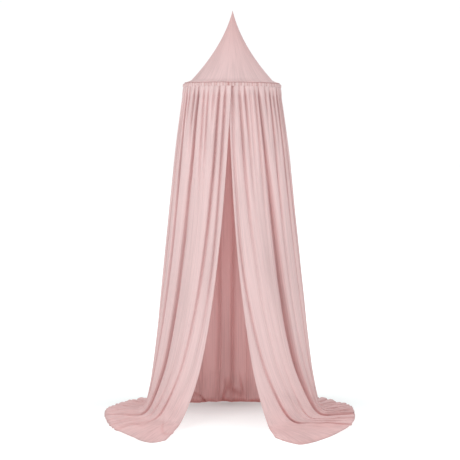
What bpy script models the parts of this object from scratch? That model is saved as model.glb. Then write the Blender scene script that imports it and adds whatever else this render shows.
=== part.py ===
"""A hanging children's bed canopy with its hoop, at real size, in metres, +Z up.

The origin is the point that the canopy hangs from, at the tip of the crown. The front, where the
skirt opens, faces -Y. Angles round the canopy start at the front and go round by the left side as
seen from the front, so 90 is the left, 180 the back and 270 the right.
"""
import math
from bisect import bisect_right
from collections import namedtuple

import bmesh
import bpy

# Driving dimensions
DROP_TO_FLOOR = 2.145
CLOTH = 0.0015
FIT_GAP = 0.0003
HOOP_RADIUS = 0.2527
HOOP_WIRE_RADIUS = 0.004
HOOP_DROP = 0.392
HOOP_TILT = math.radians(0.45)

# The crown: its half-width is a share of the drop plus a share of the drop squared, down to a lip
# that runs out to the casing
CROWN_STRAIGHT = 0.25
CROWN_FLARE = 0.92
CROWN_LIP_DROP = 0.364
CROWN_STEPS = 40
CROWN_ROWS = 7
CROWN_ROW_SPREAD = 0.85
LIP_BEND_OUT = 0.55
LIP_BEND_DOWN = 0.72

# The casing: a cloth sleeve round the hoop, open along its inner side. Its line in from the wall
# and up from the hoop's middle, from the crown's seam over the outside to its inner edge
FACET_GAP = 0.0002
CASING_WALL = HOOP_RADIUS + HOOP_WIRE_RADIUS + FIT_GAP + FACET_GAP + CLOTH / 2
Corner = namedtuple("Corner", "inward up")
CASING_LINE = (
    Corner(0.0080, 0.0125),
    Corner(0.0022, 0.0110),
    Corner(0.0000, 0.0055),
    Corner(0.0000, -0.0060),
    Corner(0.0008, -0.0130),
    Corner(0.0085, -0.0115),
    Corner(0.0115, -0.0045),
)
CASING_BOTTOM = min(corner.up for corner in CASING_LINE)
PUCKERED_CORNERS = (1, 2, 3)
CASING_PUCKERS = 51
PUCKER_HEIGHT = 0.0012
PUCKER_UNEVEN = 0.3

# The skirt: how much of its length hangs, how it leaves the casing and where it meets the floor
SKIRT_LENGTH = 2.00
SKIRT_HANGS = 1.76
SKIRT_TOP_RADIUS = CASING_WALL
SKIRT_TOP_DROP = HOOP_DROP - CASING_BOTTOM + CLOTH + FIT_GAP
SWELL = 0.005
SWELL_REACH = 0.020
TOUCH_FRONT = 0.430
TOUCH_SIDE = 0.455
TOUCH_BACK = 0.385
FLARE_SHARE = 0.15
FLARE_POWER = 10
BEND = 0.020
LIE_HEIGHT = 0.032
HEM_HEIGHT = 0.006

# Creases: their shape, how the seam pinches them, and the depth that lies flat on the floor
CREASE_POWER = 1.4
CREASE_REACH = 6
SEAM_PINCH = 0.35
PINCH_SHARE = 0.016
FLAT_DEPTH = 0.030
SHARP_ANGLE = math.radians(35)

# Gathers between the folds: they start at the casing and fade
GATHER_PITCH = 7.0
GATHER_WANDER = 0.9
GATHER_DEPTH = 0.020
GATHER_WIDTH = 0.0065
GATHER_FADES = (0.16, 0.30, 0.22)

# At the top the right flap is tucked behind the left one, from this angle on
TUCK_START = 356.5
TUCK_TURN = 3.5
TUCK_DEPTH = 0.013
TUCK_SHARE = 0.20

# How far down the hanging cloth the four angles and depths of a fold are given
STATIONS = (0.0, 0.45, 0.80, 1.0)

# The mesh: its columns' greatest width in degrees, and its rows' shares of the skirt's length
COLUMN_PITCH = 4.0
ROWS = (0.0, 0.012, 0.04, 0.09, 0.17, 0.28, 0.42, 0.57, 0.70, 0.79, 0.845, 0.88, 0.91, 0.95, 1.0)

# A row for each fold of the skirt: its angle at the hoop, at 45% and 80% of the way down, where it
# meets the floor and at the hem, in degrees; how deep it is at those places, and its half-width, in
# millimetres. The first and last rows are the front edges of the two flaps.
Fold = namedtuple("Fold", "hoop waist knee floor hem d_hoop d_waist d_knee d_floor d_hem width")
FOLDS = (
    Fold(0.8, 11.0, 23.6, 38.5, 29.9, 0, 0, 0, 0, 0, 8),
    Fold(7.1, 15.3, 29.0, 46.0, 37.0, 18, 18, 8, 6, 2, 8),
    Fold(14.1, 23.4, 38.8, 57.0, 58.0, 20, 26, 22, 24, 5, 10),
    Fold(33.0, 34.5, 46.5, 64.5, 72.0, 16, 8, 8, 10, 4, 14),
    Fold(41.1, 45.6, 54.5, 73.0, 87.0, 22, 38, 38, 36, 14, 13),
    Fold(63.9, 62.3, 72.0, 86.0, 102.0, 20, 28, 24, 24, 6, 13),
    Fold(78.0, 76.0, 82.5, 95.0, 111.0, 19, 25, 28, 20, 6, 12),
    Fold(91.0, 90.0, 94.0, 104.0, 119.0, 19, 34, 32, 24, 7, 14),
    Fold(107.0, 105.0, 106.0, 115.0, 127.0, 20, 36, 38, 28, 6, 15),
    Fold(120.0, 119.0, 119.0, 126.0, 136.0, 18, 24, 22, 18, 4, 12),
    Fold(134.0, 134.0, 133.0, 137.0, 146.0, 20, 34, 36, 26, 7, 14),
    Fold(150.0, 149.0, 148.0, 150.0, 156.0, 19, 27, 30, 20, 5, 13),
    Fold(163.0, 165.0, 166.0, 165.0, 168.0, 18, 34, 33, 26, 6, 14),
    Fold(180.0, 181.0, 180.0, 179.0, 179.0, 20, 28, 36, 24, 5, 13),
    Fold(195.0, 194.0, 196.0, 194.0, 191.0, 18, 24, 22, 22, 6, 12),
    Fold(210.0, 211.0, 211.0, 208.0, 202.0, 20, 36, 36, 26, 7, 15),
    Fold(225.0, 226.0, 225.0, 221.0, 213.0, 19, 28, 26, 20, 5, 13),
    Fold(240.0, 241.0, 239.0, 233.0, 223.0, 19, 34, 38, 28, 6, 15),
    Fold(254.0, 256.0, 253.0, 245.0, 233.0, 20, 26, 25, 20, 5, 12),
    Fold(269.0, 270.0, 266.0, 256.0, 243.0, 19, 32, 32, 24, 6, 14),
    Fold(284.0, 283.0, 277.0, 266.0, 252.0, 18, 24, 27, 22, 7, 12),
    Fold(297.0, 294.4, 286.5, 275.0, 259.0, 20, 26, 24, 24, 6, 12),
    Fold(312.0, 308.0, 299.0, 282.0, 263.0, 18, 12, 9, 8, 3, 12),
    Fold(328.9, 322.2, 311.0, 289.0, 268.0, 22, 46, 46, 42, 14, 20),
    Fold(333.8, 327.0, 316.0, 296.0, 275.0, 18, 6, 4, 5, 2, 8),
    Fold(345.8, 335.0, 320.0, 303.0, 281.0, 18, 6, 7, 12, 4, 10),
    Fold(352.2, 342.2, 325.5, 308.0, 286.0, 19, 12, 6, 5, 2, 9),
    Fold(360.5, 353.4, 337.0, 318.0, 292.0, 9, 22, 20, 34, 12, 12),
    Fold(364.5, 356.6, 345.5, 333.0, 338.0, 0, 0, 0, 0, 0, 8),
)

# A row for each turn of the hem's outline on the floor: its angle, and its reach from the middle
Reach = namedtuple("Reach", "angle radius")
HEM_OUTLINE = (
    Reach(20.0, 0.600),
    Reach(29.9, 0.672),
    Reach(32.4, 0.748),
    Reach(36.0, 0.752),
    Reach(41.3, 0.729),
    Reach(51.0, 0.695),
    Reach(60.0, 0.681),
    Reach(72.0, 0.669),
    Reach(84.0, 0.673),
    Reach(103.0, 0.694),
    Reach(122.0, 0.692),
    Reach(142.0, 0.660),
    Reach(180.0, 0.635),
    Reach(217.0, 0.660),
    Reach(236.0, 0.685),
    Reach(249.0, 0.688),
    Reach(262.0, 0.662),
    Reach(275.0, 0.650),
    Reach(288.0, 0.656),
    Reach(300.0, 0.663),
    Reach(310.0, 0.670),
    Reach(321.6, 0.699),
    Reach(328.5, 0.730),
    Reach(333.4, 0.748),
    Reach(336.6, 0.712),
    Reach(338.0, 0.640),
    Reach(345.0, 0.580),
)


def through(knots, values, t):
    """The value at t of a smooth curve through a few values: a cubic between each pair of knots."""
    last = len(knots) - 1
    low = min(max(bisect_right(knots, t) - 1, 0), last - 1)
    span = knots[low + 1] - knots[low]

    def slope(k):
        before = max(k - 1, 0)
        after = min(k + 1, last)
        return (values[after] - values[before]) / (knots[after] - knots[before])

    f = (t - knots[low]) / span
    rise = values[low + 1] - values[low]
    bend_in = slope(low) * span - rise
    bend_out = rise - slope(low + 1) * span
    return values[low] + f * rise + f * (1 - f) * ((1 - f) * bend_in + f * bend_out)


def smooth(t):
    """0 up to 0, 1 from 1 on, and an easy rise between."""
    t = min(max(t, 0.0), 1.0)
    return t * t * (3 - 2 * t)


def mix(a, b, f):
    return a + (b - a) * f


# Where the cloth lies


def touch_radius(angle):
    """How far from the middle the cloth meets the floor: wider at the sides than at the back."""
    turn = math.radians(angle)
    middle = (TOUCH_FRONT + TOUCH_BACK) / 2
    return middle + (TOUCH_FRONT - middle) * math.cos(turn) + (TOUCH_SIDE - middle) * math.sin(turn) ** 2


def hem_radius(angle):
    return through([r.angle for r in HEM_OUTLINE], [r.radius for r in HEM_OUTLINE], angle)


def hang_radius(angle, t):
    """The skirt's radius at t of the way down: a straight slope that flares just above the floor."""
    spread = touch_radius(angle) - SKIRT_TOP_RADIUS
    swell = SWELL * (1 - math.exp(-t / SWELL_REACH)) * (1 - t)
    return SKIRT_TOP_RADIUS + swell + spread * mix(t, t**FLARE_POWER, FLARE_SHARE)


def around(angle, radius):
    turn = math.radians(angle)
    return -radius * math.sin(turn), -radius * math.cos(turn)


# Folds

Crease = namedtuple("Crease", "angles depths width fade")


def fold_angles(fold):
    return fold.hoop, fold.waist, fold.knee, fold.floor, fold.hem


def fold_depths(fold):
    return [depth / 1000 for depth in (fold.d_hoop, fold.d_waist, fold.d_knee, fold.d_floor, fold.d_hem)]


def gathers():
    """The small gathers between the folds at the hoop: (hoop angle, how far down they fade)."""
    found = []
    for fold, after in zip(FOLDS, FOLDS[1:]):
        count = round((after.hoop - fold.hoop) / GATHER_PITCH) - 1
        for k in range(count):
            angle = mix(fold.hoop, after.hoop, (k + 1) / (count + 1))
            angle += GATHER_WANDER * math.sin(2.3 * len(found))
            found.append((angle, GATHER_FADES[len(found) % len(GATHER_FADES)]))
    return found


def angles_at(hoop):
    """The five angles of the cloth that starts at an angle on the hoop, between its two folds."""
    starts = [fold.hoop for fold in FOLDS]
    low = min(max(bisect_right(starts, hoop) - 1, 0), len(FOLDS) - 2)
    f = (hoop - starts[low]) / (starts[low + 1] - starts[low])
    return [mix(a, b, f) for a, b in zip(fold_angles(FOLDS[low]), fold_angles(FOLDS[low + 1]))]


def at_station(five, t, b):
    """One of a fold's angles or depths at t of the way down, and b of the way from there to the hem."""
    return mix(through(STATIONS, five[:4], t), five[4], b)


def fold_creases():
    for fold in FOLDS:
        yield Crease(fold_angles(fold), fold_depths(fold), fold.width / 1000, None)


def gather_creases():
    for hoop, fade in gathers():
        yield Crease(angles_at(hoop), None, GATHER_WIDTH, fade)


def crease_depth(crease, t, b):
    if crease.fade is None:
        return at_station(crease.depths, t, b)
    return GATHER_DEPTH * (1 - smooth(t / crease.fade))


def dent(angles, t, b):
    """How far the cloth is drawn in from its outer line by the creases near it."""
    angle = at_station(angles, t, b)
    radius = mix(hang_radius(angle, t), hem_radius(angles[4]), b)
    total = 0.0
    for crease in CREASES:
        off = abs(math.radians(angle - at_station(crease.angles, t, b))) * radius / crease.width
        if off < CREASE_REACH:
            total += crease_depth(crease, t, b) * math.exp(-(off**CREASE_POWER))
    return total


def tucked(hoop, t):
    """The right flap starts behind the left one and comes forward as the opening widens."""
    under = smooth((hoop - TUCK_START) / TUCK_TURN)
    return TUCK_DEPTH * under * (1 - smooth(t / TUCK_SHARE))


# The skirt


def cloth_point(hoop, s):
    """A point of the skirt, from its angle on the hoop and its share s of the way to the hem."""
    angles = angles_at(hoop)
    along = s * SKIRT_LENGTH / SKIRT_HANGS
    past = (along - 1) / BEND
    spill = BEND * math.log1p(math.exp(past))
    t = min(along - spill, 1.0)
    b = min(spill / (SKIRT_LENGTH / SKIRT_HANGS - 1), 1.0)
    lying = 1 / (1 + math.exp(-past))
    angle = through(STATIONS, angles[:4], t)
    dented = dent(angles, t, b) * mix(SEAM_PINCH, 1, smooth(s / PINCH_SHARE))
    height = mix(LIE_HEIGHT, HEM_HEIGHT, b) * (1 - min(dented / FLAT_DEPTH, 1.0))
    radius = hang_radius(angle, t) - (dented + tucked(hoop, t)) * (1 - lying) - CLOTH * lying
    x, y = around(angle, radius)
    start_x, start_y = around(angle, touch_radius(angle))
    end_x, end_y = around(angles[4], hem_radius(angles[4]))
    x += (end_x - start_x) * b
    y += (end_y - start_y) * b
    top = -SKIRT_TOP_DROP * math.cos(HOOP_TILT) - x * math.sin(HOOP_TILT)
    floor = -DROP_TO_FLOOR + CLOTH / 2
    shift = -SKIRT_TOP_DROP * math.sin(HOOP_TILT) * (1 - t)
    return x + shift, y, mix(top, floor, t) + height * lying


def columns():
    """The hoop angles of the mesh's columns: each crease, the ridges between and wide folds' sides."""
    marks = sorted(crease.angles[0] for crease in CREASES)
    found = []
    for here, after in zip(marks, marks[1:]):
        widest = max(abs(b - a) for a, b in zip(angles_at(here), angles_at(after)))
        count = max(4 if after == marks[-1] or here == marks[0] else 2, round(widest / COLUMN_PITCH))
        found.extend(mix(here, after, k / count) for k in range(count))
    return found + [marks[-1]]


def make_skirt():
    across = columns()
    bm = bmesh.new()
    bmesh.ops.create_grid(bm, x_segments=len(across) - 1, y_segments=len(ROWS) - 1, size=0.5)
    for vert in bm.verts:
        column = round((vert.co.x + 0.5) * (len(across) - 1))
        row = round((0.5 - vert.co.y) * (len(ROWS) - 1))
        vert.co = cloth_point(across[column], ROWS[row])
    bmesh.ops.reverse_faces(bm, faces=bm.faces)
    return finish("skirt", bm, CLOTH, 0.0, skirt_cloth())


# The crown, the casing and the hoop


def crown_profile():
    """Half the crown's outline from the tip down, with a lip that runs out to the casing."""
    points = []
    for k in range(CROWN_ROWS):
        drop = CROWN_LIP_DROP * (k / (CROWN_ROWS - 1)) ** CROWN_ROW_SPREAD
        points.append((CROWN_STRAIGHT * drop + CROWN_FLARE * drop**2, -drop))
    seam = CASING_WALL - CASING_LINE[0].inward - FIT_GAP
    seam_drop = HOOP_DROP - CASING_LINE[0].up - CLOTH / 2
    points.append((mix(points[-1][0], seam, LIP_BEND_OUT), -mix(CROWN_LIP_DROP, seam_drop, LIP_BEND_DOWN)))
    points.append((seam, -seam_drop))
    return points


def make_crown():
    bm = bmesh.new()
    corners = [bm.verts.new((radius, 0, z)) for radius, z in crown_profile()]
    for corner, after in zip(corners, corners[1:]):
        bm.edges.new((corner, after))
    crown = add_object("crown", bm, crown_cloth())
    turn = crown.modifiers.new("turn", "SCREW")
    turn.steps = CROWN_STEPS
    turn.render_steps = CROWN_STEPS
    turn.use_merge_vertices = True
    turn.merge_threshold = 0.0001
    thicken(crown, CLOTH, -1.0)
    return crown


def make_casing():
    """A puckered sleeve: every second column of its outer wall stands a little proud."""
    steps = 2 * CASING_PUCKERS
    rows = len(CASING_LINE) - 1
    bm = bmesh.new()
    bmesh.ops.create_grid(bm, x_segments=steps, y_segments=rows, size=0.5)
    for vert in bm.verts:
        step = round((vert.co.x + 0.5) * steps) % steps
        row = round((0.5 - vert.co.y) * rows)
        radius = CASING_WALL - CASING_LINE[row].inward
        if row in PUCKERED_CORNERS and step % 2:
            radius += PUCKER_HEIGHT * (1 - PUCKER_UNEVEN * (1 - math.sin(1.7 * step)))
        x, y = around(360 * step / steps, radius)
        vert.co = (x, y, CASING_LINE[row].up - HOOP_DROP)
    bmesh.ops.remove_doubles(bm, verts=bm.verts, dist=0.00001)
    bmesh.ops.reverse_faces(bm, faces=bm.faces)
    return finish("casing", bm, CLOTH, 0.0, casing_cloth())


def make_hoop():
    bpy.ops.mesh.primitive_torus_add(
        major_radius=HOOP_RADIUS,
        minor_radius=HOOP_WIRE_RADIUS,
        major_segments=CASING_PUCKERS,
        minor_segments=8,
        location=(0, 0, 0),
    )
    hoop = bpy.context.object
    hoop.name = "hoop"
    hoop.data.name = "hoop"
    for vert in hoop.data.vertices:
        vert.co.z -= HOOP_DROP
    hoop.data.materials.append(hoop_paint())
    hoop.data.shade_smooth()
    move_to(hoop, PARTS)
    return hoop


# Materials


def material(name, colour, roughness, metallic):
    made = bpy.data.materials.new(name)
    made.use_nodes = True
    shader = made.node_tree.nodes["Principled BSDF"]
    shader.inputs["Base Color"].default_value = (*colour, 1)
    shader.inputs["Roughness"].default_value = roughness
    shader.inputs["Metallic"].default_value = metallic
    made.diffuse_color = (*colour, 1)
    return made


def skirt_cloth():
    return material("dusty rose muslin", (0.74, 0.49, 0.48), 0.90, 0.0)


def crown_cloth():
    return material("dusty rose crown cloth", (0.72, 0.50, 0.49), 0.88, 0.0)


def casing_cloth():
    return material("dusty rose casing", (0.70, 0.45, 0.44), 0.90, 0.0)


def hoop_paint():
    return material("white painted steel", (0.82, 0.82, 0.80), 0.45, 0.0)


# Putting together


def add_object(name, bm, surface):
    mesh = bpy.data.meshes.new(name)
    bm.to_mesh(mesh)
    bm.free()
    mesh.materials.append(surface)
    made = bpy.data.objects.new(name, mesh)
    PARTS.objects.link(made)
    return made


def thicken(made, thickness, offset):
    shell = made.modifiers.new("thickness", "SOLIDIFY")
    shell.thickness = thickness
    shell.offset = offset
    shell.use_even_offset = True


def finish(name, bm, thickness, offset, surface):
    made = add_object(name, bm, surface)
    made.data.shade_smooth()
    made.data.set_sharp_from_angle(angle=SHARP_ANGLE)
    thicken(made, thickness, offset)
    return made


def move_to(made, collection):
    for old in list(made.users_collection):
        old.objects.unlink(made)
    collection.objects.link(made)


for old_object in list(bpy.data.objects):
    bpy.data.objects.remove(old_object)

CREASES = [*fold_creases(), *gather_creases()]

PARTS = bpy.data.collections.new("bed canopy")
bpy.context.scene.collection.children.link(PARTS)

hanging_point = bpy.data.objects.new("hanging point", None)
PARTS.objects.link(hanging_point)
hanging_point.rotation_euler = (0, HOOP_TILT, 0)
for piece in (make_crown(), make_casing(), make_hoop()):
    piece.parent = hanging_point
make_skirt()
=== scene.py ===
"""The looks of a hanging children's canopy: its skirt, the hoop in its casing, and the crown."""

import math
from collections import namedtuple

import bmesh
import bpy
import numpy as np
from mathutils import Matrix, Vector


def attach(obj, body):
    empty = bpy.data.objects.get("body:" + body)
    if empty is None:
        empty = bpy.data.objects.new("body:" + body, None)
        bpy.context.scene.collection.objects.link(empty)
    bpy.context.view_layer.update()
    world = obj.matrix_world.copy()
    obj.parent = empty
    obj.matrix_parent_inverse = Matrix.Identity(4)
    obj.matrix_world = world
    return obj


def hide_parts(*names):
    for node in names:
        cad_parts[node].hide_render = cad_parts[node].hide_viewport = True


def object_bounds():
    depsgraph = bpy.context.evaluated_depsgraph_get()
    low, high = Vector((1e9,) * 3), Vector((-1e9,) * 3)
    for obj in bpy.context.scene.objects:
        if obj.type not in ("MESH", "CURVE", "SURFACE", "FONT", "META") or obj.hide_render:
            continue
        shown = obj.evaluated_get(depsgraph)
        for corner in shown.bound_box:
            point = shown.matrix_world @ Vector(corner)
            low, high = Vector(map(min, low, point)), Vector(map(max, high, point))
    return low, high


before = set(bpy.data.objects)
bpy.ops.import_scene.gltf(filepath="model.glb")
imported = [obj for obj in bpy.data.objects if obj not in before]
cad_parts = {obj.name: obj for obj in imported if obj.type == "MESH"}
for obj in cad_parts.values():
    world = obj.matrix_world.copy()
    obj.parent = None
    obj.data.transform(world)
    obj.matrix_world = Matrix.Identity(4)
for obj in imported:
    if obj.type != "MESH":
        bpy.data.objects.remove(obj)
cad_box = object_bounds()
scene = bpy.context.scene

# The camera stands seven metres in front of the canopy, about 1.5 m above the floor, and looks
# slightly down. Its lens is long, so the hoop shows almost edge on.
CAMERA_PLACE = (-0.0137, -7.05, -0.6755)
CAMERA_DOWN = 3.85
SENSOR_WIDTH = 36
PICTURE_WIDTH = 460
FOCAL_PIXELS = 1337
camera = bpy.data.objects.new("camera", bpy.data.cameras.new("camera"))
camera.location = CAMERA_PLACE
camera.rotation_euler = (math.radians(90 - CAMERA_DOWN), 0, 0)
camera.data.sensor_width = SENSOR_WIDTH
camera.data.lens = SENSOR_WIDTH * FOCAL_PIXELS / PICTURE_WIDTH
scene.collection.objects.link(camera)
scene.camera = camera

# A pale studio floor that runs out into a white surround, so that no horizon shows. It glows, and
# its glow holds a painted shadow: darkest just behind the middle of the canopy, it pales with the
# distance from there, soonest towards the front and the back.
FLOOR = cad_box[0][2]
FLOOR_SIZE = 60
FLOOR_GAP = 0.0002
FLOOR_GREY = (0.425, 0.467, 0.463)
PAINTED_SHADOW_MIDDLE = (0, 0.33, FLOOR)
SIDEWAYS = 0.4
Paling = namedtuple("Paling", "distance brightness")
PALINGS = (
    Paling(0.0, 0.28),
    Paling(0.05, 0.34),
    Paling(0.13, 0.44),
    Paling(0.24, 0.52),
    Paling(0.34, 0.61),
    Paling(0.55, 0.71),
    Paling(0.8, 0.78),
    Paling(4.0, 0.84),
)
PALING_REACH = PALINGS[-1].distance

sheet = bmesh.new()
bmesh.ops.create_grid(sheet, x_segments=1, y_segments=1, size=FLOOR_SIZE)
bmesh.ops.translate(sheet, verts=sheet.verts, vec=(0, 0, FLOOR - FLOOR_GAP))
floor_mesh = bpy.data.meshes.new("floor")
sheet.to_mesh(floor_mesh)
sheet.free()
floor = bpy.data.objects.new("floor", floor_mesh)
scene.collection.objects.link(floor)

white_floor = bpy.data.materials.new("white floor")
white_floor.use_nodes = True
tree = white_floor.node_tree
shader = tree.nodes["Principled BSDF"]
shader.inputs["Base Color"].default_value = (*FLOOR_GREY, 1)
shader.inputs["Roughness"].default_value = 0.9
shader.inputs["Specular IOR Level"].default_value = 0.1
shader.inputs["Emission Strength"].default_value = 1
place = tree.nodes.new("ShaderNodeTexCoord")
narrowed = tree.nodes.new("ShaderNodeMapping")
narrowed.inputs["Scale"].default_value = (SIDEWAYS, 1, 1)
distance = tree.nodes.new("ShaderNodeVectorMath")
distance.operation = "DISTANCE"
distance.inputs[1].default_value = PAINTED_SHADOW_MIDDLE
share = tree.nodes.new("ShaderNodeMath")
share.operation = "DIVIDE"
share.inputs[1].default_value = PALING_REACH
ramp = tree.nodes.new("ShaderNodeValToRGB")
for _ in PALINGS[2:]:
    ramp.color_ramp.elements.new(0.5)
for stop, paling in zip(ramp.color_ramp.elements, PALINGS):
    stop.position = paling.distance / PALING_REACH
    stop.color = (paling.brightness, paling.brightness, paling.brightness, 1)
tree.links.new(place.outputs["Object"], narrowed.inputs["Vector"])
tree.links.new(narrowed.outputs["Vector"], distance.inputs[0])
tree.links.new(distance.outputs["Value"], share.inputs[0])
tree.links.new(share.outputs["Value"], ramp.inputs["Fac"])
tree.links.new(ramp.outputs["Color"], shader.inputs["Emission Color"])
floor.data.materials.append(white_floor)

# The surround shows white behind the canopy, and lights it a little less strongly than it shows.
SURROUND_LIGHTS = 0.70
SURROUND_SHOWS = 1.02
surround = bpy.data.worlds.new("white surround")
surround.use_nodes = True
tree = surround.node_tree
seen = tree.nodes.new("ShaderNodeLightPath")
strength = tree.nodes.new("ShaderNodeMapRange")
strength.inputs["To Min"].default_value = SURROUND_LIGHTS
strength.inputs["To Max"].default_value = SURROUND_SHOWS
tree.links.new(seen.outputs["Is Camera Ray"], strength.inputs["Value"])
tree.nodes["Background"].inputs["Color"].default_value = (1, 1, 1, 1)
tree.links.new(strength.outputs["Result"], tree.nodes["Background"].inputs["Strength"])
scene.world = surround
scene.view_settings.view_transform = "Standard"


def soft_box(name, place, aim, size, watts):
    """A square soft box that faces a point of the canopy."""
    lamp = bpy.data.lights.new(name, "AREA")
    lamp.size = size
    lamp.energy = watts
    box = bpy.data.objects.new(name, lamp)
    box.location = place
    box.rotation_euler = (Vector(aim) - Vector(place)).to_track_quat("-Z", "Y").to_euler()
    scene.collection.objects.link(box)


# The main light comes from the front on the left. The one behind shines through the cloth.
soft_box("front soft box", (-1.8, -4.6, 1.1), (0, 0, -0.9), 1.8, 80)
soft_box("right soft box", (3.4, -4.0, 0.4), (0, 0, -1.2), 2.0, 15)
soft_box("overhead soft box", (0.2, -1.6, 2.6), (0, 0, -1.4), 2.5, 12)
soft_box("back soft box", (0.3, 3.6, 1.4), (0, 0, -0.9), 2.0, 42)

# The hoop: a ring of steel wire painted white, hidden in its casing but for its inner side. The
# solid ring stays, with a satin paint that has a fine speckle.
PAINT_DULL = (0.74, 0.73, 0.71)
PAINT_CLEAN = (0.86, 0.86, 0.84)
SPECKLE_SCALE = 180
SPECKLE_DEPTH = 0.0004
hoop_paint = bpy.data.materials.new("white hoop paint")
hoop_paint.use_nodes = True
tree = hoop_paint.node_tree
shader = tree.nodes["Principled BSDF"]
place = tree.nodes.new("ShaderNodeTexCoord")
speckle = tree.nodes.new("ShaderNodeTexNoise")
speckle.inputs["Scale"].default_value = SPECKLE_SCALE
tint = tree.nodes.new("ShaderNodeValToRGB")
tint.color_ramp.elements[0].color = (*PAINT_DULL, 1)
tint.color_ramp.elements[1].color = (*PAINT_CLEAN, 1)
gloss = tree.nodes.new("ShaderNodeMapRange")
gloss.inputs["To Min"].default_value = 0.35
gloss.inputs["To Max"].default_value = 0.55
grain = tree.nodes.new("ShaderNodeBump")
grain.inputs["Strength"].default_value = 0.15
grain.inputs["Distance"].default_value = SPECKLE_DEPTH
tree.links.new(place.outputs["Object"], speckle.inputs["Vector"])
tree.links.new(speckle.outputs["Fac"], tint.inputs["Fac"])
tree.links.new(speckle.outputs["Fac"], gloss.inputs["Value"])
tree.links.new(speckle.outputs["Fac"], grain.inputs["Height"])
tree.links.new(tint.outputs["Color"], shader.inputs["Base Color"])
tree.links.new(gloss.outputs["Result"], shader.inputs["Roughness"])
tree.links.new(grain.outputs["Normal"], shader.inputs["Normal"])
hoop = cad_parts["hoop"]
hoop.data.materials.clear()
hoop.data.materials.append(hoop_paint)

# The skirt: one long piece of crinkled muslin, gathered on to the casing, hanging in folds, open at
# the front with its left edge lapped over its right one, and lying on the floor all round. Its
# front edges and its lower edge have a hem turned to the inside.

# The hoop's place and the gaps between the pieces, as in the solids. The skirt's top edge lies just
# inside the casing's lower edge. The skirt hangs for most of its length, and lies for the rest.
HOOP_TILT = math.radians(0.45)
HOOP_DROP = 0.392
HOOP_RADIUS = 0.2527
HOOP_WIRE_RADIUS = 0.004
FIT_GAP = 0.0003
FACET_GAP = 0.0002
CLOTH = 0.0015
CASING_WALL = HOOP_RADIUS + HOOP_WIRE_RADIUS + FIT_GAP + FACET_GAP + CLOTH / 2
TOP_INSIDE = 0.0020
TOP_BELOW = 0.0080
SKIRT_TOP_RADIUS = CASING_WALL - TOP_INSIDE
SKIRT_TOP_DROP = HOOP_DROP + TOP_BELOW
SKIRT_ACROSS = 3.4
SKIRT_LENGTH = 2.00
SKIRT_HANGS = 1.76
LYING_SHARE = SKIRT_LENGTH / SKIRT_HANGS - 1

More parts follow.
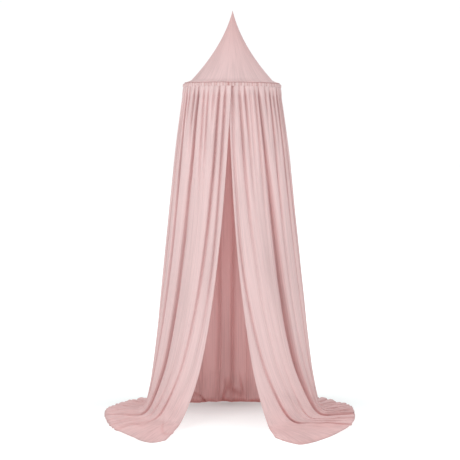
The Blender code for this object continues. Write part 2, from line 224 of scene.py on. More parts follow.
# A row for each fold: its angle round the hoop, at 45% and 80% of the way down, at the floor and at
# the hem; then its depths there, its half-width, and how high the cloth after it lies by its bend
# and at the hem, in millimetres. Angles start at the front and go round by the left.
STATIONS = (0.0, 0.45, 0.80, 1.0)
Fold = namedtuple(
    "Fold", "hoop waist knee floor hem d_hoop d_waist d_knee d_floor d_hem width rise lift"
)
FOLDS = (
    Fold(0.8, 11.0, 23.6, 36.9, 28.6, 0, 0, 0, 0, 0, 8, 32, 1),
    Fold(7.1, 15.3, 29.0, 46.0, 37.0, 29, 20, 4, 5, 2, 6, 32, 2),
    Fold(14.1, 23.4, 38.8, 57.0, 58.0, 30, 26, 11, 18, 16, 7, 32, 5),
    Fold(33.0, 34.5, 46.5, 64.5, 72.0, 23, 2, 4, 12, 10, 8, 32, 6),
    Fold(41.1, 47.0, 58.0, 75.0, 87.0, 27, 36, 36, 38, 26, 11, 36, 16),
    Fold(63.9, 63.0, 73.0, 87.0, 102.0, 27, 24, 19, 24, 14, 9, 34, 14),
    Fold(78.0, 76.0, 82.5, 95.0, 111.0, 24, 28, 30, 24, 12, 9, 32, 12),
    Fold(91.0, 90.0, 94.0, 104.0, 119.0, 24, 38, 36, 28, 13, 10, 32, 13),
    Fold(107.0, 105.0, 106.0, 115.0, 127.0, 25, 40, 42, 30, 12, 11, 20, 12),
    Fold(120.0, 119.0, 119.0, 126.0, 136.0, 23, 26, 24, 20, 9, 9, 2, 12),
    Fold(134.0, 134.0, 133.0, 137.0, 146.0, 25, 38, 40, 28, 12, 10, 2, 12),
    Fold(150.0, 149.0, 148.0, 150.0, 156.0, 24, 30, 34, 24, 10, 10, 2, 12),
    Fold(163.0, 165.0, 166.0, 165.0, 168.0, 23, 38, 36, 28, 11, 10, 2, 12),
    Fold(180.0, 181.0, 180.0, 179.0, 179.0, 25, 30, 40, 28, 10, 10, 2, 12),
    Fold(195.0, 194.0, 196.0, 194.0, 191.0, 23, 26, 24, 24, 11, 9, 2, 12),
    Fold(210.0, 211.0, 211.0, 208.0, 202.0, 25, 40, 40, 28, 12, 11, 2, 12),
    Fold(225.0, 226.0, 225.0, 221.0, 213.0, 24, 30, 28, 24, 10, 9, 2, 12),
    Fold(240.0, 241.0, 239.0, 233.0, 223.0, 24, 38, 42, 30, 11, 11, 2, 12),
    Fold(254.0, 256.0, 253.0, 245.0, 233.0, 25, 28, 28, 24, 10, 9, 20, 13),
    Fold(269.0, 270.0, 266.0, 256.0, 243.0, 24, 36, 36, 26, 12, 10, 32, 13),
    Fold(284.0, 283.0, 277.0, 266.0, 252.0, 23, 26, 30, 28, 20, 9, 32, 14),
    Fold(297.0, 294.4, 286.5, 275.0, 259.0, 29, 13, 14, 22, 20, 9, 34, 16),
    Fold(312.0, 308.0, 297.0, 280.5, 263.0, 26, 12, 8, 10, 6, 9, 36, 18),
    Fold(328.9, 318.3, 306.5, 286.5, 267.5, 30, 60, 57, 50, 34, 19, 38, 17),
    Fold(333.8, 327.0, 316.0, 296.0, 275.0, 22, 5, 4, 5, 4, 7, 32, 10),
    Fold(345.8, 335.0, 320.0, 303.0, 281.0, 29, 3, 6, 14, 8, 7, 34, 11),
    Fold(352.2, 342.2, 325.5, 308.0, 286.0, 31, 11, 6, 8, 5, 7, 34, 12),
    Fold(360.5, 353.4, 337.0, 318.0, 292.0, 12, 20, 19, 36, 30, 6, 34, 12),
    Fold(364.5, 356.6, 345.5, 335.3, 338.5, 0, 0, 0, 0, 0, 8, 32, 1),
)

# A row for each turn of the hem's outline on the floor: its angle, and its reach from the middle.
Reach = namedtuple("Reach", "angle radius")
HEM_OUTLINE = (
    Reach(20.0, 0.600),
    Reach(28.6, 0.690),
    Reach(29.6, 0.735),
    Reach(31.6, 0.766),
    Reach(36.0, 0.768),
    Reach(41.3, 0.744),
    Reach(51.0, 0.711),
    Reach(60.0, 0.697),
    Reach(72.0, 0.681),
    Reach(84.0, 0.679),
    Reach(103.0, 0.694),
    Reach(122.0, 0.692),
    Reach(142.0, 0.660),
    Reach(180.0, 0.635),
    Reach(217.0, 0.660),
    Reach(236.0, 0.685),
    Reach(249.0, 0.688),
    Reach(262.0, 0.662),
    Reach(275.0, 0.650),
    Reach(288.0, 0.656),
    Reach(300.0, 0.674),
    Reach(310.0, 0.690),
    Reach(321.6, 0.722),
    Reach(328.5, 0.750),
    Reach(333.4, 0.764),
    Reach(335.2, 0.757),
    Reach(336.6, 0.712),
    Reach(337.8, 0.655),
    Reach(338.5, 0.600),
    Reach(345.0, 0.200),
)


def through(knots, values, t):
    """Values at t of smooth curves through a few rows of values, one row for each knot."""
    knots = np.asarray(knots, float)
    values = np.asarray(values, float)
    here = np.arange(len(knots))
    before, after = np.maximum(here - 1, 0), np.minimum(here + 1, len(knots) - 1)
    one_each = (-1,) + (1,) * (values.ndim - 1)
    slopes = (values[after] - values[before]) / (knots[after] - knots[before]).reshape(one_each)
    low = np.clip(np.searchsorted(knots, t, side="right") - 1, 0, len(knots) - 2)
    span = knots[low + 1] - knots[low]
    f = (t - knots[low]) / span
    each = f.shape + (1,) * (values.ndim - 1)
    f, span = f.reshape(each), span.reshape(each)
    rise = values[low + 1] - values[low]
    bend_in = slopes[low] * span - rise
    bend_out = rise - slopes[low + 1] * span
    return values[low] + f * rise + f * (1 - f) * ((1 - f) * bend_in + f * bend_out)


def ease(t):
    """Runs softly from 0 to 1 as t does, and stays there."""
    t = np.clip(t, 0, 1)
    return t * t * (3 - 2 * t)


LATTICE = 64


def bumps(u, v, pitch_u, pitch_v, seed):
    """Soft even noise from -1 to 1 over a cloth, with a hump about every pitch each way."""
    lattice = np.random.default_rng(seed).uniform(-1, 1, (LATTICE, LATTICE))
    across, down = u / pitch_u, v / pitch_v
    col, row = np.floor(across).astype(int), np.floor(down).astype(int)
    f, g = ease(across - col), ease(down - row)
    left, right, top, low = col % LATTICE, (col + 1) % LATTICE, row % LATTICE, (row + 1) % LATTICE
    at_top = lattice[top, left] * (1 - f) + lattice[top, right] * f
    at_low = lattice[low, left] * (1 - f) + lattice[low, right] * f
    return at_top * (1 - g) + at_low * g


# The skirt's outline: a swell below the seam, a straight slope, and a flare just above the floor,
# which it meets further out at the sides than in front and at the back.
SWELL = 0.0121
SWELL_REACH = 0.100
TOUCH_FRONT = 0.430
TOUCH_SIDE = 0.478
TOUCH_BACK = 0.362
FLARE_SHARE = 0.15
FLARE_POWER = 10


def touch_radius(angle):
    """How far from the middle the cloth meets the floor."""
    turn = np.radians(angle)
    middle = (TOUCH_FRONT + TOUCH_BACK) / 2
    widened = (TOUCH_SIDE - middle) * np.sin(turn) ** 2
    return middle + (TOUCH_FRONT - middle) * np.cos(turn) + widened


def hang_radius(angle, down):
    """How far from the middle the cloth hangs, at a share of the way down."""
    spread = touch_radius(angle) - SKIRT_TOP_RADIUS
    swell = SWELL * (1 - np.exp(-down / SWELL_REACH)) * (1 - down)
    flare = FLARE_SHARE * down**FLARE_POWER
    return SKIRT_TOP_RADIUS + swell + spread * (down * (1 - FLARE_SHARE) + flare)


def hem_radius(angle):
    """How far from the middle the hem lies on the floor."""
    return through([r.angle for r in HEM_OUTLINE], [r.radius for r in HEM_OUTLINE], angle)


def around(angle, radius):
    """Where a point is that lies at this angle round from the front, so far from the middle."""
    turn = np.radians(angle)
    return -radius * np.sin(turn), -radius * np.cos(turn)


fold_starts = [fold.hoop for fold in FOLDS]


def angles_at(hoop):
    """The cloth's angles from hoop to hem, a row for each of five places, by those on the hoop."""
    return np.array([np.interp(hoop, fold_starts, [fold[k] for fold in FOLDS]) for k in range(5)])


# The mesh: its columns, and how many rows there are in each stretch of the length.
SKIRT_COLUMNS = 860
Stretch = namedtuple("Stretch", "start rows")
SKIRT_ROWS = (
    Stretch(0.0, 10),
    Stretch(0.03, 22),
    Stretch(0.25, 24),
    Stretch(0.78, 15),
    Stretch(0.86, 17),
    Stretch(0.90, 10),
    Stretch(0.95, 14),
    Stretch(1.0, 0),
)
STATION_RADII = (0.26, 0.33, 0.39, 0.43)
FINE_STEPS = 4000


def spread_columns(count):
    """Hoop angles of the columns, spaced evenly along the cloth, on average from seam to hem."""
    fine = np.linspace(fold_starts[0], fold_starts[-1], FINE_STEPS + 1)
    five = angles_at(fine)
    length = np.zeros(FINE_STEPS)
    for angles, radius in zip(five, (*STATION_RADII, hem_radius(five[4]))):
        x, y = around(angles, radius)
        length += np.hypot(np.diff(x), np.diff(y))
    length = np.concatenate([[0], np.cumsum(length)])
    return np.interp(np.linspace(0, length[-1], count + 1), length, fine)


hoop_angles = spread_columns(SKIRT_COLUMNS)
stretches = [
    np.linspace(stretch.start, after.start, stretch.rows, endpoint=False)
    for stretch, after in zip(SKIRT_ROWS, SKIRT_ROWS[1:])
]
shares = np.concatenate([*stretches, [1.0]])
lengths = shares * SKIRT_LENGTH
along = lengths / SKIRT_HANGS

# The cloth turns at the floor in a gentle bend. At the back it stands straight on the floor, and
# turns away in a tight one.
BEND = 0.020
BACK_BEND = 0.004
BACK_SPREAD = 1.5


def settle(along, bend):
    """How far the cloth has come down, and how far it has run out over the floor, as shares."""
    spill = bend * np.log1p(np.exp((along - 1) / bend))
    return np.minimum(along - spill, 1.0), np.minimum(spill / LYING_SHARE, 1.0)


row_down, row_out = settle(along, BEND)
row_out = row_out[:, None]
five_angles = angles_at(hoop_angles)
hang_angle = through(STATIONS, five_angles[:4], row_down)
hang_turn = np.radians(hang_angle)
angle = hang_angle * (1 - row_out) + five_angles[4] * row_out
hem_reach = hem_radius(five_angles[4])

back = ease(-BACK_SPREAD * np.cos(hang_turn))
bend = BEND + (BACK_BEND - BEND) * back
down, out = settle(along[:, None], bend)
lying = 1 / (1 + np.exp((1 - along[:, None]) / bend))
outer = hang_radius(hang_angle, down)
reach = outer * (1 - out) + hem_reach * out

# Each fold is parted from the next by a crease. Gathers lie between the creases: they start at the
# seam, run out further down, and come again in the train, the cloth that lies on the floor.
GATHER_PITCH = 7.0
GATHER_WANDER = 0.9
WANDER_STEP = 2.3
GATHER_DEPTH = 0.019
GATHER_WIDTH = 0.0058
GATHER_FADES = (0.20, 0.45, 0.30)
TRAIN_DEPTH = 0.014
TRAIN_SHARE = 0.4
Crease = namedtuple("Crease", "angles depth width")
creases = []
for fold in FOLDS:
    depths = np.array([fold.d_hoop, fold.d_waist, fold.d_knee, fold.d_floor, fold.d_hem]) / 1000
    depth = through(STATIONS, depths[:4], row_down)[:, None] * (1 - out) + depths[4] * out
    creases.append(Crease(np.array(fold[:5]), depth, fold.width / 1000))
gathers = 0
for fold, after in zip(FOLDS, FOLDS[1:]):
    count = round((after.hoop - fold.hoop) / GATHER_PITCH) - 1
    for k in range(count):
        start = fold.hoop + (after.hoop - fold.hoop) * (k + 1) / (count + 1)
        start += GATHER_WANDER * math.sin(WANDER_STEP * gathers)
        depth = GATHER_DEPTH * (1 - ease(down / GATHER_FADES[gathers % len(GATHER_FADES)]))
        depth = depth + TRAIN_DEPTH * ease(out / TRAIN_SHARE)
        creases.append(Crease(angles_at(start), depth, GATHER_WIDTH))
        gathers += 1

# A crease is a narrow valley in a broad hollow. It sways a little on its way down, and is deeper in
# some places than in others. At the seam it is pinched almost shut, and in the train it is crisper.
CREASE_POWER = 1.7
HOLLOW_SHARE = 0.22
HOLLOW_WIDTH = 2.8
TOP_WIDTH = 0.0065
TOP_SHARE = 0.55
SEAM_PINCH = 0.24
SEAM_WIDTH = 0.42
PINCH_SHARE = 0.034
TRAIN_CRISP = 0.3
CRISP_SHARE = 0.3
SWAY = 0.5
SWAY_PITCH = 0.30
SWAY_SHARE = 0.3
UNEVEN = 0.22
UNEVEN_PITCH = 0.35
NOISE_STEP = 3.7
dented = np.zeros_like(angle)
opened = ease(shares / PINCH_SHARE)[:, None]
narrow = SEAM_WIDTH + (1 - SEAM_WIDTH) * opened
for number, crease in enumerate(creases):
    middle = through(STATIONS, crease.angles[:4], row_down)[:, None] * (1 - out)
    middle = middle + crease.angles[4] * out
    own = np.full_like(lengths, NOISE_STEP * number)
    sway = SWAY * bumps(own, lengths, 1.0, SWAY_PITCH, 21) * ease(row_down / SWAY_SHARE)
    middle = middle + sway[:, None]
    uneven = (1 + UNEVEN * bumps(own, lengths, 1.0, UNEVEN_PITCH, 22))[:, None]
    width = TOP_WIDTH + (crease.width - TOP_WIDTH) * ease(down / TOP_SHARE)
    width = width * (1 - TRAIN_CRISP * ease(out / CRISP_SHARE))
    off = np.abs(np.radians(angle - middle)) * reach / (width * narrow)
    valley = np.exp(-(off**CREASE_POWER))
    hollow = np.exp(-((off / HOLLOW_WIDTH) ** 2))
    dented += crease.depth * uneven * (valley * (1 - HOLLOW_SHARE) + hollow * HOLLOW_SHARE)
dented *= SEAM_PINCH + (1 - SEAM_PINCH) * opened

# Soft wrinkles run down the hanging cloth. Where it lies, it is crumpled and crossed by thin lines,
# and at the back it slumps on its foot.
Wave = namedtuple("Wave", "height across along seed")
WRINKLES = (Wave(0.0012, 0.030, 0.30, 11), Wave(0.0010, 0.055, 0.16, 12))
CRUMPLES = (Wave(0.0040, 0.035, 0.16, 13), Wave(0.0030, 0.06, 0.09, 14))
SLUMPS = (Wave(0.6, 0.09, 0.5, 15),)
SLUMP_MEAN = 0.8
WRINKLES_START = 0.05
Crossing = namedtuple("Crossing", "slant across along width seed")
SLUMP_LINES = Crossing(-0.3, 0.095, 0.15, 0.10, 19)
FLOOR_LINES = Crossing(0.35, 0.055, 0.20, 0.16, 17)
SLUMP_FROM = 0.88
SLUMP_SHARE = 0.07
ends = (fold_starts[0], fold_starts[-1])
cut = np.interp(hoop_angles, ends, (0, SKIRT_ACROSS))[None, :] + 0 * angle
fall = lengths[:, None] + 0 * angle


def waves(rows):
    """Waves over the whole cloth, added up."""
    return sum(row.height * bumps(cut, fall, row.across, row.along, row.seed) for row in rows)


def crossing(lines):
    """Thin lines that wander slantwise over the cloth: 1 on a line, and 0 away from it."""
    noise = bumps(cut + lines.slant * fall, fall, lines.across, lines.along, lines.seed)
    return np.exp(-((noise / lines.width) ** 2))


wrinkle = waves(WRINKLES) * ease(shares / WRINKLES_START)[:, None]
crumple = waves(CRUMPLES)
slump = SLUMP_MEAN + waves(SLUMPS)
slumped = crossing(SLUMP_LINES) * ease((down - SLUMP_FROM) / SLUMP_SHARE) * back * (1 - lying)
floor_line = crossing(FLOOR_LINES) * lying

# At the top the right flap is tucked behind the left one, from this angle on.
TUCK_START = 356.5
TUCK_TURN = 3.5
TUCK_DEPTH = 0.013
TUCK_SHARE = 0.20
tucked = TUCK_DEPTH * ease((hoop_angles - TUCK_START) / TUCK_TURN) * (1 - ease(down / TUCK_SHARE))

# How high the cloth lies: up on its ridges, and down on the floor in its creases.
FLOOR_LINE_DEPTH = 0.006
SOFT_LANDING = 0.0015
CLEAR_OF_FLOOR = 0.0012
rise = np.interp(hoop_angles, fold_starts, [fold.rise / 1000 for fold in FOLDS])
lift = np.interp(hoop_angles, fold_starts, [fold.lift / 1000 for fold in FOLDS])
ridge = rise * (1 - out**2) + lift * out**2 + crumple
low_by = dented + FLOOR_LINE_DEPTH * floor_line
height = SOFT_LANDING * np.log1p(np.exp((ridge - low_by) / SOFT_LANDING)) + CLEAR_OF_FLOOR

# The creases draw the hanging cloth in, and to one side. The foot of the back bulges inwards over
# the floor, the front edges bow as they run out, and the right side leans over its own bend.
BULGE = 0.019
BULGE_UP = 0.006
BULGE_REACH = 0.006
SLUMP_DEPTH = 0.016
CREASE_LEAN = 0.9
EDGE_BOW = 0.014
FRONT_RISE = 4
FRONT_START = 2.2
OVERHANG = 0.9
bulge = BULGE * slump * back * np.exp(-(((1 - down - BULGE_UP) / BULGE_REACH) ** 2))
radius = outer - (dented + tucked - wrinkle) * (1 - lying) - bulge + SLUMP_DEPTH * slumped
leaned = CREASE_LEAN * np.sin(hang_turn) * dented
sideways = np.degrees(leaned / reach) * (1 - lying)
x, y = around(hang_angle + sideways, radius)
start_x, start_y = around(hang_angle, touch_radius(hang_angle))
end_x, end_y = around(five_angles[4], hem_reach)
x = x + (end_x - start_x) * out
y = y + (end_y - start_y) * out
by_front_edge = ease(FRONT_RISE * np.cos(hang_turn) - FRONT_START)
on_right = ease(np.sin(-hang_turn))
x = x - np.sign(x) * EDGE_BOW * 4 * out * (1 - out) * by_front_edge
y = y - OVERHANG * height * lying * on_right
top = -SKIRT_TOP_DROP * math.cos(HOOP_TILT) - x * math.sin(HOOP_TILT)
z = top * (1 - down) + FLOOR * down + height * lying
x = x - SKIRT_TOP_DROP * math.sin(HOOP_TILT) * (1 - down)
cloth = np.stack([x, y, z], axis=-1)

# Painted shade: the cloth's colour is darkened towards a deeper rose where shade falls, standing in
# for the light held in a crease by the rose cloth all round it. So are the lying cloth, the low
# part of the back, the crossing lines, and the line of its foot, which is a painted contact shadow.
PAINTED_SHADE_TINT = (0.72, 0.45, 0.43)
CREASE_FULL = 0.042
FOLD_SHADE = 0.15
TRAIN_SHADE = 4.0
LYING_SHADE = 0.12
LOW_SHADE = 0.34
LOW_FROM = 0.65
SLUMP_SHADE = 0.28
LINE_SHADE = 0.20
FOOT_UP = 0.006
FOOT_REACH = 0.007
FOOT_ENDS = 0.08
above = np.maximum(1 - down - FOOT_UP, 0)
foot = back * np.exp(-((above / (FOOT_REACH * slump)) ** 2)) * (1 - ease(out / FOOT_ENDS))
low = back * LOW_SHADE * ease((down - LOW_FROM) / (1 - LOW_FROM)) * (1 - lying)
in_creases = FOLD_SHADE * (1 + TRAIN_SHADE * lying) * np.clip(dented / CREASE_FULL, 0, 1)
shade = in_creases + low + LYING_SHADE * lying + SLUMP_SHADE * slumped + LINE_SHADE * floor_line
shade = np.clip(np.maximum(shade, foot), 0, 1)

# The hems: the lower edge and the two front edges are folded back behind the cloth, each in two
# more rows of points that carry on the shade of the edge.
HEM_WIDTH = 0.012
HEM_LAYER = 0.0009
HEM_ROWS = 2
NEAR_EDGE = 8


def turned_hem(cloth):
    """Adds a hem along the first row of points, folded back behind the cloth."""
    step = np.linalg.norm(np.diff(cloth[:NEAR_EDGE], axis=0), axis=-1)
    walked = np.concatenate([np.zeros((1, step.shape[1])), np.cumsum(step, axis=0)])
    across = np.gradient(cloth[0], axis=0)
    behind = np.cross(across, cloth[1] - cloth[0])
    behind *= HEM_LAYER / np.linalg.norm(behind, axis=-1, keepdims=True)
    hem = []
    for number in range(HEM_ROWS):
        width = HEM_WIDTH * (HEM_ROWS - number) / HEM_ROWS
        row = [
            [np.interp(width, walked[:, j], cloth[:NEAR_EDGE, j, k]) for k in range(3)]
            for j in range(cloth.shape[1])
        ]
        hem.append(np.array(row) + behind)
    return np.concatenate([np.array(hem), cloth])


cloth = turned_hem(cloth[::-1])[::-1]
cloth = turned_hem(cloth.swapaxes(0, 1)).swapaxes(0, 1)
cloth = turned_hem(cloth[:, ::-1].swapaxes(0, 1)).swapaxes(0, 1)[:, ::-1]
shade = np.pad(shade, ((0, HEM_ROWS), (HEM_ROWS, HEM_ROWS)), mode="edge")


def cloth_grid(columns, rows):
    """A flat grid with its own map, and where each of its corners lies, as column and row."""
    sheet = bmesh.new()
    sheet.loops.layers.uv.new("cloth")
    sheet.verts.layers.float.new("crease")
    bmesh.ops.create_grid(sheet, x_segments=columns, y_segments=rows, size=0.5, calc_uvs=True)
    across = [round((vert.co.x + 0.5) * columns) for vert in sheet.verts]
    down = [round((0.5 - vert.co.y) * rows) for vert in sheet.verts]
    return sheet, np.array(across), np.array(down)


SAME_PLACE = 0.00001


def lay_cloth(sheet, points, shades, closed=False):
    """Moves a grid's corners to where the cloth has them, and sews its ends together if closed."""
    # The crease layer holds each corner's share of painted shade.
    crease = sheet.verts.layers.float["crease"]
    for vert, point, shade in zip(sheet.verts, points, shades):
        vert.co = point
        vert[crease] = shade
    if closed:
        bmesh.ops.remove_doubles(sheet, verts=sheet.verts, dist=SAME_PLACE)
    bmesh.ops.reverse_faces(sheet, faces=sheet.faces)


SHARP_TURN = math.radians(80)


def finish_cloth(name, sheet, surface):
    """Turns a sheet into a piece of thin cloth that hangs with the hoop."""
    mesh = bpy.data.meshes.new(name)
    sheet.to_mesh(mesh)
    sheet.free()
    mesh.materials.append(surface)
    mesh.shade_smooth()
    mesh.set_sharp_from_angle(angle=SHARP_TURN)
    made = bpy.data.objects.new(name, mesh)
    scene.collection.objects.link(made)
    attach(made, "root")
    return made


# The muslin's dye: a dusty rose, and what the light takes on as it comes through the threads.
ROSE = (0.786, 0.620, 0.615)
GLOW = (0.95, 0.62, 0.61)
FADED = 0.90
FRESH = 1.07
CRINKLE_DEPTH = 0.0025


def muslin(name, colour, width, length, let_through, crinkled=0.6):
    """Crinkled muslin: a plain weave, streaks that run down it, and light that comes through."""
    made = bpy.data.materials.new(name)
    made.use_nodes = True
    tree = made.node_tree
    tree.nodes.clear()
    place = tree.nodes.new("ShaderNodeUVMap")
    place.uv_map = "cloth"

    def laid(across, down):
        """The cloth's own map, with so many units to the metre across it and down it."""
        stretch = tree.nodes.new("ShaderNodeMapping")
        stretch.inputs["Scale"].default_value = (width * across, length * down, 1)
        tree.links.new(place.outputs["UV"], stretch.inputs["Vector"])
        return stretch.outputs["Vector"]

    def cloudy(across, down, detail):
        """Soft noise, with so many clouds to the metre across the cloth and down it."""
        noise = tree.nodes.new("ShaderNodeTexNoise")
        noise.inputs["Scale"].default_value = 1.0
        noise.inputs["Detail"].default_value = detail
        tree.links.new(laid(across, down), noise.inputs["Vector"])
        return noise.outputs["Fac"]

    def threads(direction):
        """The threads of the weave that lie beside each other in this direction."""
        wave = tree.nodes.new("ShaderNodeTexWave")
        wave.bands_direction = direction
        wave.inputs["Scale"].default_value = 0.3
        wave.inputs["Distortion"].default_value = 0.6
        tree.links.new(laid(800, 800), wave.inputs["Vector"])
        return wave.outputs["Fac"]

    def sums(first, second, share):
        """The first plus a share of the second."""
        both = tree.nodes.new("ShaderNodeMath")
        both.operation = "MULTIPLY_ADD"
        both.inputs[1].default_value = share
        tree.links.new(second, both.inputs[0])
        tree.links.new(first, both.inputs[2])
        return both.outputs[0]

    streaks = cloudy(150, 5, detail=3)
    crinkles = cloudy(230, 55, detail=2)
    clouds = cloudy(6, 3, detail=2)
    weave = sums(threads("X"), threads("Y"), 1.0)
    tone = sums(streaks, clouds, 0.8)
    ramp = tree.nodes.new("ShaderNodeValToRGB")
    ramp.color_ramp.elements[0].position = 0.65
    ramp.color_ramp.elements[0].color = (*[c * FADED for c in colour], 1)
    ramp.color_ramp.elements[1].color = (*[min(c * FRESH, 1) for c in colour], 1)
    tree.links.new(tone, ramp.inputs["Fac"])
    # The crease layer's painted shade darkens the dye towards the shade tint.
    painted_shade_layer = tree.nodes.new("ShaderNodeAttribute")
    painted_shade_layer.attribute_name = "crease"
    dye_with_painted_shade = tree.nodes.new("ShaderNodeMix")
    dye_with_painted_shade.data_type = "RGBA"
    dye_with_painted_shade.blend_type = "MULTIPLY"
    dye_with_painted_shade.inputs["B"].default_value = (*PAINTED_SHADE_TINT, 1)
    tree.links.new(painted_shade_layer.outputs["Fac"], dye_with_painted_shade.inputs["Factor"])
    tree.links.new(ramp.outputs["Color"], dye_with_painted_shade.inputs["A"])

    relief = sums(sums(streaks, crinkles, 0.5), weave, 0.04)
    bump = tree.nodes.new("ShaderNodeBump")
    bump.inputs["Strength"].default_value = crinkled
    bump.inputs["Distance"].default_value = CRINKLE_DEPTH
    tree.links.new(relief, bump.inputs["Height"])

    surface = tree.nodes.new("ShaderNodeBsdfPrincipled")
    surface.inputs["Roughness"].default_value = 0.92
    surface.inputs["Specular IOR Level"].default_value = 0.12
    surface.inputs["Sheen Weight"].default_value = 0.06
    tree.links.new(dye_with_painted_shade.outputs["Result"], surface.inputs["Base Color"])
    tree.links.new(bump.outputs["Normal"], surface.inputs["Normal"])
    glow = tree.nodes.new("ShaderNodeBsdfTranslucent")
    deepen = tree.nodes.new("ShaderNodeVectorMath")
    deepen.operation = "MULTIPLY"
    deepen.inputs[1].default_value = GLOW
    tree.links.new(dye_with_painted_shade.outputs["Result"], deepen.inputs[0])
    tree.links.new(deepen.outputs["Vector"], glow.inputs["Color"])
    tree.links.new(bump.outputs["Normal"], glow.inputs["Normal"])
    both = tree.nodes.new("ShaderNodeMixShader")
    both.inputs["Fac"].default_value = let_through
    tree.links.new(surface.outputs["BSDF"], both.inputs[1])
    tree.links.new(glow.outputs["BSDF"], both.inputs[2])
    output = tree.nodes.new("ShaderNodeOutputMaterial")
    tree.links.new(both.outputs["Shader"], output.inputs["Surface"])
    return made


sheet, column, row = cloth_grid(cloth.shape[1] - 1, cloth.shape[0] - 1)
lay_cloth(sheet, cloth[row, column].tolist(), shade[row, column].tolist())
skirt_muslin = muslin("rose skirt muslin", ROSE, SKIRT_ACROSS, SKIRT_LENGTH, let_through=0.25)
skirt = finish_cloth("skirt_cloth", sheet, skirt_muslin)
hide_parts("skirt")

# The casing: a strip of the same cloth round the hoop. Its two rows of stitches draw it up into
# puckers that run on into the skirt's gathers, and its upper edge stands in small ruffles.
Corner = namedtuple("Corner", "inward up pucker")
CASING_LINE = (
    Corner(0.0125, 0.0080, 0.0000),
    Corner(0.0080, 0.0078, 0.0000),
    Corner(0.0050, 0.0084, 0.0010),
    Corner(0.0026, 0.0080, 0.0020),
    Corner(0.0008, 0.0064, 0.0022),
    Corner(-0.0006, 0.0035, 0.0020),
    Corner(-0.0012, 0.0000, 0.0018),
    Corner(-0.0012, -0.0035, 0.0026),
    Corner(-0.0006, -0.0070, 0.0044),
    Corner(0.0006, -0.0100, 0.0050),
    Corner(0.0022, -0.0128, 0.0034),
    Corner(0.0060, -0.0135, 0.0008),
    Corner(0.0105, -0.0115, 0.0000),
    Corner(0.0125, -0.0050, 0.0000),
)
CASING_COLUMNS = 720
CASING_ACROSS = 2.2
CASING_LENGTH = 0.05
PUCKER_GAP = 4
PUCKER_WANDER = 0.6
PUCKER_WIDTH = 0.0038
PUCKER_POWER = 1.3
PUCKER_MOST = 1.2
PUCKER_UNEVEN = 0.25
PUCKER_SHADE = 0.58
RUFFLE = 0.0007
RUFFLE_WAVE = 0.6
RUFFLE_ABOVE = 0.003


def tilted(x, y, z):
    """A place on the crown, casing or hoop, which hang a little lower on the right."""
    return (
        x * math.cos(HOOP_TILT) + z * math.sin(HOOP_TILT),
        y,
        z * math.cos(HOOP_TILT) - x * math.sin(HOOP_TILT),
    )


def ring_points(headings, radii, heights):
    """Places round the hoop's axis, from their headings in degrees."""
    turns = np.radians(headings)
    return [tilted(-r * math.sin(a), -r * math.cos(a), z) for a, r, z in zip(turns, radii, heights)]


# There is a pucker at the head of each crease and gather, and one more between two that lie apart
marks = sorted(float(crease.angles[0]) for crease in creases)
marks += [
    (mark + after) / 2 + PUCKER_WANDER * math.sin(5 * mark)
    for mark, after in zip(marks, marks[1:])
    if after - mark > PUCKER_GAP
]
sheet, column, row = cloth_grid(CASING_COLUMNS, len(CASING_LINE) - 1)
heading = 360 * column / CASING_COLUMNS + 180
puckered = np.zeros(len(heading))
for mark in marks:
    off = np.radians((heading - mark + 180) % 360 - 180)
    puckered += np.exp(-((np.abs(off) * CASING_WALL / PUCKER_WIDTH) ** PUCKER_POWER))
puckered = np.minimum(puckered, PUCKER_MOST) * (1 + PUCKER_UNEVEN * np.sin(0.9 * heading))
inward, up, pucker = np.array(CASING_LINE)[row].T
ruffle = RUFFLE * (RUFFLE_WAVE * np.sin(0.7 * heading) - puckered)
ruffle = np.where(up > RUFFLE_ABOVE, ruffle, 0)
points = ring_points(heading, CASING_WALL - inward - pucker * puckered, up + ruffle - HOOP_DROP)
# The puckers get painted shade in the crease layer.
lay_cloth(sheet, points, np.minimum(PUCKER_SHADE * puckered, 1), closed=True)
casing_muslin = muslin("rose casing muslin", ROSE, CASING_ACROSS, CASING_LENGTH, let_through=0.22)
casing = finish_cloth("casing_cloth", sheet, casing_muslin)
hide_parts("casing")

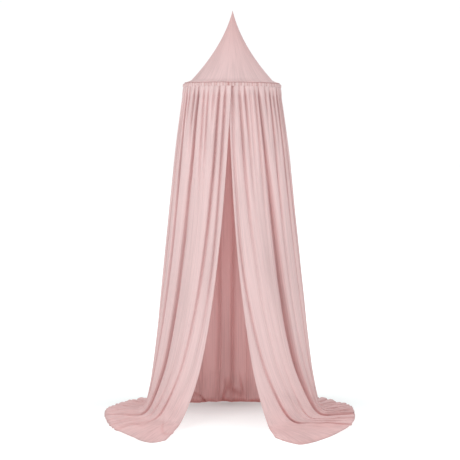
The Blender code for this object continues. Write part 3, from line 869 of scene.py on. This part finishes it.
# The crown: one piece of light cotton in a hollow cone, smooth and taut from its tip to a lip that
# runs out over the casing and ends in a narrow rolled seam.
CROWN_ROSE = (0.805, 0.650, 0.646)
CROWN_ACROSS = 1.6
CROWN_LENGTH = 0.47
CROWN_STRAIGHT = 0.25
CROWN_FLARE = 0.92
CROWN_LIP_DROP = 0.364
CROWN_COLUMNS = 240
CROWN_ROWS = 60
CROWN_ROW_POWER = 0.85
CROWN_SHADE = 0.42
LipPoint = namedtuple("LipPoint", "radius drop")
LIP = (
    LipPoint(0.2190, 0.3672),
    LipPoint(0.2270, 0.3706),
    LipPoint(0.2350, 0.3738),
    LipPoint(0.2420, 0.3760),
    LipPoint(0.2465, 0.3768),
    LipPoint(0.2492, 0.3776),
    LipPoint(0.2502, 0.3790),
    LipPoint(0.2494, 0.3803),
    LipPoint(0.2472, 0.3815),
    LipPoint(0.2460, 0.3832),
)
PULL = 0.0003
PULL_COUNT = 23
PULL_ENDS = 0.376
drops = CROWN_LIP_DROP * np.linspace(0, 1, CROWN_ROWS + 1) ** CROWN_ROW_POWER
radii = CROWN_STRAIGHT * drops + CROWN_FLARE * drops**2
drops = np.concatenate([drops, [point.drop for point in LIP]])
radii = np.concatenate([radii, [point.radius for point in LIP]])

# The taut cloth is drawn into faint ridges that run down it, and is darkened towards its tip with
# painted shade
sheet, column, row = cloth_grid(CROWN_COLUMNS, len(drops) - 1)
heading = 360 * column / CROWN_COLUMNS + 180
drop = drops[row]
pull = PULL * np.sin(np.radians(heading * PULL_COUNT)) * bumps(heading, drop, 24, 0.12, 31)
pull += PULL * bumps(heading, drop, 9, 0.3, 32)
pull *= np.sin(np.pi * np.clip(drop / PULL_ENDS, 0, 1))
crown_shade = CROWN_SHADE * np.maximum(1 - drop / CROWN_LIP_DROP, 0)
lay_cloth(sheet, ring_points(heading, radii[row] + pull, -drop), crown_shade, closed=True)
crown_cotton = muslin(
    "rose crown muslin", CROWN_ROSE, CROWN_ACROSS, CROWN_LENGTH, let_through=0.28, crinkled=0.3
)
crown = finish_cloth("crown_cloth", sheet, crown_cotton)
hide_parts("crown")
